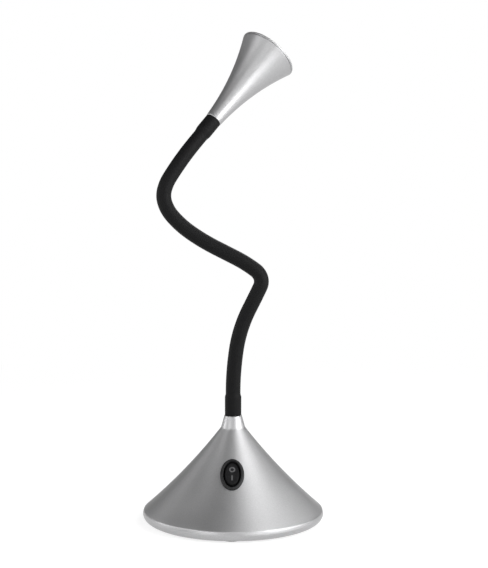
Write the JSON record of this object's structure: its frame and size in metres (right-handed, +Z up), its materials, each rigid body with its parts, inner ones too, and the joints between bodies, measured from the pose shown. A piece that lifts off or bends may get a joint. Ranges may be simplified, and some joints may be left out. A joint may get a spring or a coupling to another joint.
{
  "type": "gooseneck desk lamp",
  "caption": "Desk lamp with a weighted cone base, a rocker switch, a bendable rubber-sleeved gooseneck arm and a small trumpet-shaped LED head.",
  "frame": {"origin": "where the base's axis meets the table, under the middle of the base", "axes": "+Z up along the base's axis; the switch faces -Y; +X is to the right as seen from the switch's side"},
  "size_m": [0.12, 0.12, 0.3241],
  "materials": {
    "silver_paint": "satin metallic silver-grey paint",
    "plate_steel": "flat grey paint on sheet steel",
    "cast_weight": "raw cast iron",
    "foot_rubber": "soft matte",
    "zinc_steel": "zinc plated",
    "black_plastic": "satin black",
    "rocker_plastic": "satin black",
    "contact_brass": "plain brass",
    "white_plastic": "satin white",
    "board_green": "green solder mask",
    "component_dark": "dark moulded plastic",
    "red_insulation": "wire insulation",
    "lead_insulation": "wire insulation",
    "reflector_metal": "bright metallised",
    "sink_aluminium": "bare aluminium",
    "phosphor": "phosphor cover",
    "opal_lens": "opal acrylic",
    "sleeve_rubber": "satin black rubber",
    "core_steel": "wound steel"
  },
  "bodies": {
    "base": {"base_shell": "silver_paint", "base_plate": "plate_steel", "ballast_weight": "cast_weight", "foot_pads": "foot_rubber", "base_screws": "zinc_steel", "cable_gland": "black_plastic", "neck_nut": "zinc_steel", "neck_washer": "zinc_steel", "lower_ferrule": "zinc_steel", "driver_case": "white_plastic", "driver_board": "board_green", "driver_components": "component_dark", "terminal_block": "white_plastic", "base_leads": "red_insulation", "switch_housing": "black_plastic", "switch_terminals": "contact_brass", "arm_sleeve_01": "sleeve_rubber", "arm_core_01": "core_steel", "arm_lead_01": "lead_insulation"},
    "rocker": {"switch_rocker": "rocker_plastic", "switch_plunger": "white_plastic"},
    "contact": {"switch_contact": "contact_brass"},
    "link_02": {"arm_sleeve_02": "sleeve_rubber", "arm_core_02": "core_steel", "arm_lead_02": "lead_insulation"},
    "link_03": {"arm_sleeve_03": "sleeve_rubber", "arm_core_03": "core_steel", "arm_lead_03": "lead_insulation"},
    "link_04": {"arm_sleeve_04": "sleeve_rubber", "arm_core_04": "core_steel", "arm_lead_04": "lead_insulation"},
    "link_05": {"arm_sleeve_05": "sleeve_rubber", "arm_core_05": "core_steel", "arm_lead_05": "lead_insulation"},
    "link_06": {"arm_sleeve_06": "sleeve_rubber", "arm_core_06": "core_steel", "arm_lead_06": "lead_insulation"},
    "link_07": {"arm_sleeve_07": "sleeve_rubber", "arm_core_07": "core_steel", "arm_lead_07": "lead_insulation"},
    "link_08": {"arm_sleeve_08": "sleeve_rubber", "arm_core_08": "core_steel", "arm_lead_08": "lead_insulation"},
    "link_09": {"arm_sleeve_09": "sleeve_rubber", "arm_core_09": "core_steel", "arm_lead_09": "lead_insulation"},
    "head": {"arm_sleeve_10": "sleeve_rubber", "arm_core_10": "core_steel", "arm_lead_10": "lead_insulation", "upper_ferrule": "zinc_steel", "head_shell": "silver_paint", "heat_sink": "sink_aluminium", "led_board": "white_plastic", "led_chip": "phosphor", "reflector": "reflector_metal", "lens": "opal_lens", "lens_ring": "silver_paint", "board_screws": "zinc_steel"}
  },
  "joints": [
    {"name": "switch_rock", "type": "hinge", "parent": "base", "child": "rocker", "pos_m": [0, -0.02838, 0.03605], "axis": [1, 0, 0], "range_deg": [0, 12]},
    {"name": "contact_rock", "type": "hinge", "parent": "base", "child": "contact", "pos_m": [0, -0.02106, 0.02936], "axis": [1, 0, 0], "range_deg": [-6, 0]},
    {"name": "arm_bend_01", "type": "hinge", "parent": "base", "child": "link_02", "pos_m": [0, 0, 0.0855], "axis": [-0.0209, 0.9998, 0], "range_deg": [-25, 25]},
    {"name": "arm_bend_02", "type": "hinge", "parent": "link_02", "child": "link_03", "pos_m": [0.00202, 0.00004, 0.1134], "axis": [0.9901, 0.0207, -0.1392], "range_deg": [-20, 20]},
    {"name": "arm_bend_03", "type": "hinge", "parent": "link_03", "child": "link_04", "pos_m": [0.011, 0.00023, 0.14188], "axis": [-0.0209, 0.9998, 0], "range_deg": [-25, 25]},
    {"name": "arm_bend_04", "type": "hinge", "parent": "link_04", "child": "link_05", "pos_m": [0.01456, 0.0003, 0.1669], "axis": [-0.0209, 0.9998, 0], "range_deg": [-10, 35]},
    {"name": "arm_bend_05", "type": "hinge", "parent": "link_05", "child": "link_06", "pos_m": [0.00144, 0.00003, 0.1751], "axis": [0.4539, 0.0095, 0.891], "range_deg": [-20, 20]},
    {"name": "arm_bend_06", "type": "hinge", "parent": "link_06", "child": "link_07", "pos_m": [-0.01762, -0.00042, 0.18504], "axis": [-0.0329, 0.9994, 0.0065], "range_deg": [-25, 25]},
    {"name": "arm_bend_07", "type": "hinge", "parent": "link_07", "child": "link_08", "pos_m": [-0.04444, -0.00189, 0.21082], "axis": [-0.0134, 0.9981, -0.0594], "range_deg": [-35, 10]},
    {"name": "arm_bend_08", "type": "hinge", "parent": "link_08", "child": "link_09", "pos_m": [-0.04149, 0.00066, 0.2273], "axis": [0.8596, -0.0826, -0.5043], "range_deg": [-20, 20]},
    {"name": "arm_bend_09", "type": "hinge", "parent": "link_09", "child": "head", "pos_m": [-0.02563, 0.00926, 0.24993], "axis": [-0.1386, 0.9194, -0.3682], "range_deg": [-25, 25]}
  ],
  "couplings": [
    {"joint": "contact_rock", "follows": "switch_rock", "ratio": -0.5}
  ]
}
